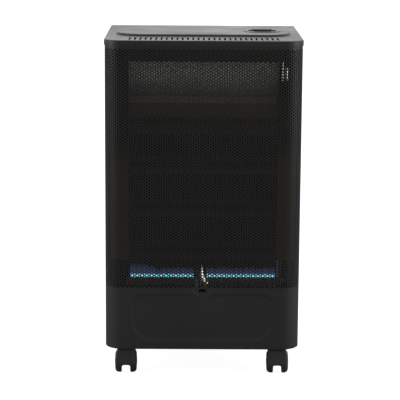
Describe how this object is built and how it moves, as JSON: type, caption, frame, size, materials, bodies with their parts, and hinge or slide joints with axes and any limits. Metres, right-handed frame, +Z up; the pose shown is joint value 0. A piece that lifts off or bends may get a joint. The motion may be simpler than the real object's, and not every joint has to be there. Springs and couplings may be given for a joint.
{
  "type": "portable gas cabinet heater",
  "caption": "Steel cabinet heater for bottled gas: wrap-round perforated front, ribbon burner and baffles, vented lid with a recessed knob, lift-off rear cover, twin-wheel castors.",
  "frame": {"origin": "on the floor, under the middle of the heater's bounding box", "axes": "+X to the heater's right seen from the front, +Y to its rear, +Z up"},
  "size_m": [0.42, 0.4, 0.739],
  "materials": {
    "cabinet_black": "satin powder coat",
    "bright_steel": "plain bright sheet",
    "tinted_steel": "tinted brown by the heat",
    "dark_steel": "darkened by the heat",
    "burner_steel": "stainless, dulled",
    "spring_steel": "zinc plated",
    "bright_tube": "drawn tube",
    "brass": "turned and cast",
    "spindle_steel": "ground",
    "lead_copper": "soft drawn copper",
    "lead_cover": "silicone sleeve",
    "white_ceramic": "unglazed",
    "black_plastic": "fine grained",
    "castor_plastic": "satin moulded nylon"
  },
  "bodies": {
    "cabinet": {"lid": "cabinet_black", "front_grille": "cabinet_black", "right_side_panel": "cabinet_black", "left_side_panel": "cabinet_black", "base_tray": "cabinet_black", "top_rail": "cabinet_black", "rear_top_rail": "cabinet_black", "grille_brackets": "cabinet_black", "top_deflector": "bright_steel", "bulkhead": "bright_steel", "burner_shelf": "bright_steel", "valve_bracket": "bright_steel", "left_chamber_cheek": "bright_steel", "right_chamber_cheek": "bright_steel", "upper_back_plate": "tinted_steel", "upper_baffle": "dark_steel", "lower_baffles": "dark_steel", "burner_bar": "burner_steel", "burner_brackets": "burner_steel", "pilot_bracket": "burner_steel", "thermocouple": "burner_steel", "snap_clips": "spring_steel", "castor_mounts": "spring_steel", "main_gas_pipe": "bright_tube", "pilot_gas_pipe": "bright_tube", "gas_valve": "brass", "gas_injector": "brass", "pilot_burner": "brass", "hose_nozzle": "brass", "pipe_nuts": "brass", "thermocouple_lead": "lead_copper", "ignition_lead": "lead_cover", "spark_electrode": "white_ceramic", "control_bezel": "black_plastic", "handle_cups": "black_plastic", "piezo_igniter": "black_plastic"},
    "rear_cover": {"rear_cover": "cabinet_black", "cover_studs": "spring_steel"},
    "valve_plunger": {"plunger_sleeve": "brass"},
    "knob": {"control_knob": "black_plastic", "valve_spindle": "spindle_steel"},
    "castor_front_left": {"castor_hood_front_left": "castor_plastic"},
    "wheel_front_left_left": {"castor_wheel_front_left_left": "castor_plastic"},
    "wheel_front_left_right": {"castor_wheel_front_left_right": "castor_plastic"},
    "castor_front_right": {"castor_hood_front_right": "castor_plastic"},
    "wheel_front_right_left": {"castor_wheel_front_right_left": "castor_plastic"},
    "wheel_front_right_right": {"castor_wheel_front_right_right": "castor_plastic"},
    "castor_rear_left": {"castor_hood_rear_left": "castor_plastic"},
    "wheel_rear_left_left": {"castor_wheel_rear_left_left": "castor_plastic"},
    "wheel_rear_left_right": {"castor_wheel_rear_left_right": "castor_plastic"},
    "castor_rear_right": {"castor_hood_rear_right": "castor_plastic"},
    "wheel_rear_right_left": {"castor_wheel_rear_right_left": "castor_plastic"},
    "wheel_rear_right_right": {"castor_wheel_rear_right_right": "castor_plastic"}
  },
  "joints": [
    {"name": "rear_cover_pull", "type": "slide", "parent": "cabinet", "child": "rear_cover", "axis": [0, 1, 0], "range_m": [0, 0.4]},
    {"name": "knob_push", "type": "slide", "parent": "cabinet", "child": "valve_plunger", "axis": [0, 0, -1], "range_m": [0, 0.004], "stiffness_N_per_m": 800, "springref_m": -0.004},
    {"name": "knob_turn", "type": "hinge", "parent": "valve_plunger", "child": "knob", "pos_m": [0.1285, -0.022, 0.729], "axis": [0, 0, 1], "range_deg": [0, 200]},
    {"name": "castor_swivel_front_left", "type": "hinge", "parent": "cabinet", "child": "castor_front_left", "pos_m": [-0.165, -0.168, 0.049], "axis": [0, 0, 1], "continuous": true},
    {"name": "wheel_spin_front_left_left", "type": "hinge", "parent": "castor_front_left", "child": "wheel_front_left_left", "pos_m": [-0.1818, -0.15, 0.025], "axis": [1, 0, 0], "continuous": true},
    {"name": "wheel_spin_front_left_right", "type": "hinge", "parent": "castor_front_left", "child": "wheel_front_left_right", "pos_m": [-0.1482, -0.15, 0.025], "axis": [1, 0, 0], "continuous": true},
    {"name": "castor_swivel_front_right", "type": "hinge", "parent": "cabinet", "child": "castor_front_right", "pos_m": [0.165, -0.168, 0.049], "axis": [0, 0, 1], "continuous": true},
    {"name": "wheel_spin_front_right_left", "type": "hinge", "parent": "castor_front_right", "child": "wheel_front_right_left", "pos_m": [0.1482, -0.15, 0.025], "axis": [1, 0, 0], "continuous": true},
    {"name": "wheel_spin_front_right_right", "type": "hinge", "parent": "castor_front_right", "child": "wheel_front_right_right", "pos_m": [0.1818, -0.15, 0.025], "axis": [1, 0, 0], "continuous": true},
    {"name": "castor_swivel_rear_left", "type": "hinge", "parent": "cabinet", "child": "castor_rear_left", "pos_m": [-0.165, 0.118, 0.049], "axis": [0, 0, 1], "continuous": true},
    {"name": "wheel_spin_rear_left_left", "type": "hinge", "parent": "castor_rear_left", "child": "wheel_rear_left_left", "pos_m": [-0.1818, 0.136, 0.025], "axis": [1, 0, 0], "continuous": true},
    {"name": "wheel_spin_rear_left_right", "type": "hinge", "parent": "castor_rear_left", "child": "wheel_rear_left_right", "pos_m": [-0.1482, 0.136, 0.025], "axis": [1, 0, 0], "continuous": true},
    {"name": "castor_swivel_rear_right", "type": "hinge", "parent": "cabinet", "child": "castor_rear_right", "pos_m": [0.165, 0.118, 0.049], "axis": [0, 0, 1], "continuous": true},
    {"name": "wheel_spin_rear_right_left", "type": "hinge", "parent": "castor_rear_right", "child": "wheel_rear_right_left", "pos_m": [0.1482, 0.136, 0.025], "axis": [1, 0, 0], "continuous": true},
    {"name": "wheel_spin_rear_right_right", "type": "hinge", "parent": "castor_rear_right", "child": "wheel_rear_right_right", "pos_m": [0.1818, 0.136, 0.025], "axis": [1, 0, 0], "continuous": true}
  ]
}
